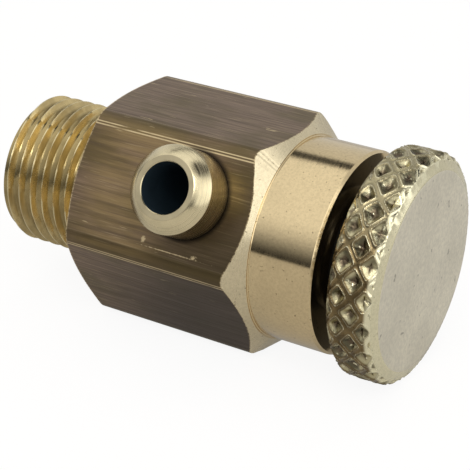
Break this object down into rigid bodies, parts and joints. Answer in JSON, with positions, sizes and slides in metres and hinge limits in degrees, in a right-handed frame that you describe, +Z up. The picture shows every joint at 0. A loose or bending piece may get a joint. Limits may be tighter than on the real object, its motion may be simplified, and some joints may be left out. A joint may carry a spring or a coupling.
{
  "type": "air bleed valve",
  "caption": "Small brass screw-down air bleed valve: hexagon body with a male inlet thread, side outlet spout and a knurled hand knob on a ball-tipped spindle.",
  "frame": {"origin": "on the valve's axis, at the shoulder of the hexagon that the inlet thread screws up to", "axes": "+X along the valve from the inlet thread to the knob, +Z up from the hexagon's lowest flat, and the outlet spout leans to -Y and up"},
  "size_m": [0.028, 0.0168, 0.0145],
  "materials": {
    "drawn_brass": "hexagon bar with its dull brown drawn skin, bright where turned",
    "turned_brass": "turned, bright",
    "knurled_brass": "knurled rim, matt turned face",
    "seal_rubber": "smooth black",
    "ball_steel": "polished"
  },
  "bodies": {
    "body": {"valve_body": "drawn_brass", "outlet_spout": "turned_brass"},
    "ball": {"seat_ball": "ball_steel"},
    "knob": {"knob_spindle": "knurled_brass", "stem_seal": "seal_rubber"}
  },
  "joints": [
    {"name": "spindle_lift", "type": "slide", "parent": "body", "child": "ball", "axis": [1, 0, 0], "range_m": [0, 0.0015]},
    {"name": "knob_turn", "type": "hinge", "parent": "ball", "child": "knob", "pos_m": [0.0196, 0, 0], "axis": [1, 0, 0], "range_deg": [0, 720]}
  ],
  "couplings": [
    {"joint": "spindle_lift", "follows": "knob_turn", "m_per_rad": 0.00011937}
  ]
}
